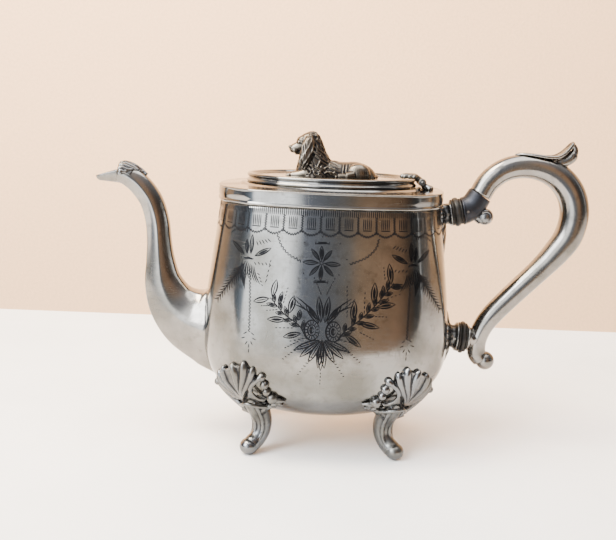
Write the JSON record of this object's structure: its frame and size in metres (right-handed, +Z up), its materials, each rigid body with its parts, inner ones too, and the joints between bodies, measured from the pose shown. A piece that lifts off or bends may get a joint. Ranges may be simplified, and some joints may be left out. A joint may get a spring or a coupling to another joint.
{
  "type": "teapot",
  "caption": "Oval panelled silver teapot on shell feet, with a hinged lid, a reclining spaniel finial, a swan-neck spout and an insulated scroll handle.",
  "frame": {"origin": "on the table plane, under the middle of the bounding box", "axes": "+X towards the handle, -X towards the spout, +Z up, the width lies along Y"},
  "size_m": [0.2716, 0.1038, 0.1723],
  "materials": {
    "silver_plate": "polished silver plate with fine scratches",
    "cast_silver": "cast and plated, dark in its recesses",
    "lead_cap": "worn plate, dark pewter",
    "horn": "polished near-black horn or hard wood",
    "pin_metal": "plain plated metal"
  },
  "bodies": {
    "pot": {"body_wall": "silver_plate", "base_pan": "silver_plate", "shoulder": "silver_plate", "spout_front_half": "silver_plate", "spout_back_half": "silver_plate", "spout_beak": "silver_plate", "spout_leaf": "cast_silver", "foot_front_left": "cast_silver", "foot_front_right": "cast_silver", "foot_back_left": "cast_silver", "foot_back_right": "cast_silver", "upper_socket": "cast_silver", "upper_insulator": "horn", "upper_ferrule": "lead_cap", "upper_curl": "cast_silver", "lower_socket": "cast_silver", "lower_insulator": "horn", "lower_ferrule": "cast_silver", "insulator_pins": "pin_metal", "handle_front_half": "silver_plate", "handle_back_half": "silver_plate", "handle_knob": "cast_silver", "thumb_leaf": "cast_silver", "hinge_body_leaf": "cast_silver", "hinge_pin": "pin_metal"},
    "lid": {"lid_rim": "silver_plate", "lid_plate": "silver_plate", "lid_flange": "silver_plate", "hinge_lid_leaf": "cast_silver", "finial_spaniel": "cast_silver", "finial_stud": "pin_metal", "finial_washer": "pin_metal", "finial_nut": "pin_metal"}
  },
  "joints": [
    {"name": "lid_hinge", "type": "hinge", "parent": "pot", "child": "lid", "pos_m": [0.0426, 0, 0.1476], "axis": [0, 1, 0], "range_deg": [0, 105]}
  ]
}
